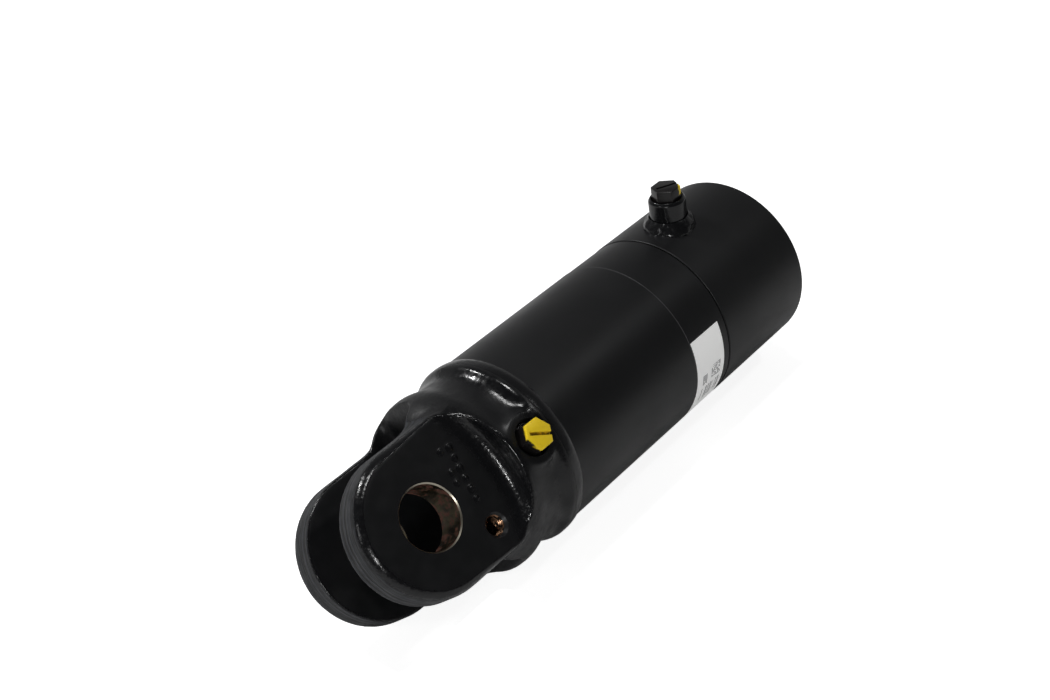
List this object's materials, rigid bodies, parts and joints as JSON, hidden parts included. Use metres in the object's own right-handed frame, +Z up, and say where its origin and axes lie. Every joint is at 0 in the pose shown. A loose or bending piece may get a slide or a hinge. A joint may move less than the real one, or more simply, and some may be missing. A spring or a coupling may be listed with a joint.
{
  "type": "telescopic hydraulic cylinder",
  "caption": "Telescopic hydraulic cylinder: a forked base with a cross pin hole, a round black barrel with a port near each end, and nested sliding stages that push out of the open end.",
  "frame": {"origin": "centre of the bounding box's bottom face, where the lying cylinder rests on its collar", "axes": "+X along the cylinder from the fork to the rod end, +Z up; the pin's axis is at 45 degrees in the YZ plane"},
  "size_m": [0.37, 0.1132, 0.1367],
  "materials": {
    "black_paint": "satin black machine paint",
    "black_cast_paint": "black paint over a casting, glossier and uneven",
    "machined_steel": "turned steel, lightly oiled",
    "chromed_steel": "hard chrome, ground",
    "black_seal_rubber": "matte black",
    "guide_ring_resin": "brown fabric-filled resin",
    "yellow_plug_plastic": "yellow moulded plastic",
    "oversprayed_plug_plastic": "yellow plastic under black overspray",
    "label_film": null
  },
  "bodies": {
    "barrel": {"base_clevis": "black_cast_paint", "base_weld": "black_paint", "barrel_tube": "black_paint", "head_housing": "black_paint", "head_port_boss": "black_paint", "head_port_weld": "black_paint", "rating_label": "label_film", "head_gland": "machined_steel", "head_gland_o_ring": "black_seal_rubber", "head_rod_seal": "black_seal_rubber", "head_guide_ring": "guide_ring_resin", "head_wiper": "black_seal_rubber", "base_port_plug": "yellow_plug_plastic", "base_port_plug_seal": "black_seal_rubber", "head_port_plug": "oversprayed_plug_plastic", "head_port_plug_seal": "black_seal_rubber"},
    "stage_one": {"stage_one_piston": "machined_steel", "stage_one_tube": "chromed_steel", "stage_one_gland": "machined_steel", "stage_one_piston_guide": "guide_ring_resin", "stage_one_piston_seal": "black_seal_rubber", "stage_one_piston_o_ring": "black_seal_rubber", "stage_one_gland_o_ring": "black_seal_rubber", "stage_one_rod_seal": "black_seal_rubber", "stage_one_guide_ring": "guide_ring_resin", "stage_one_wiper": "black_seal_rubber"},
    "stage_two": {"stage_two_piston": "machined_steel", "stage_two_rod": "chromed_steel", "stage_two_nut": "machined_steel", "stage_two_piston_guide": "guide_ring_resin", "stage_two_piston_seal": "black_seal_rubber", "stage_two_piston_o_ring": "black_seal_rubber"}
  },
  "joints": [
    {"name": "stage_one_slide", "type": "slide", "parent": "barrel", "child": "stage_one", "axis": [1, 0, 0], "range_m": [0, 0.14]},
    {"name": "stage_two_slide", "type": "slide", "parent": "stage_one", "child": "stage_two", "axis": [1, 0, 0], "range_m": [0, 0.12]}
  ]
}
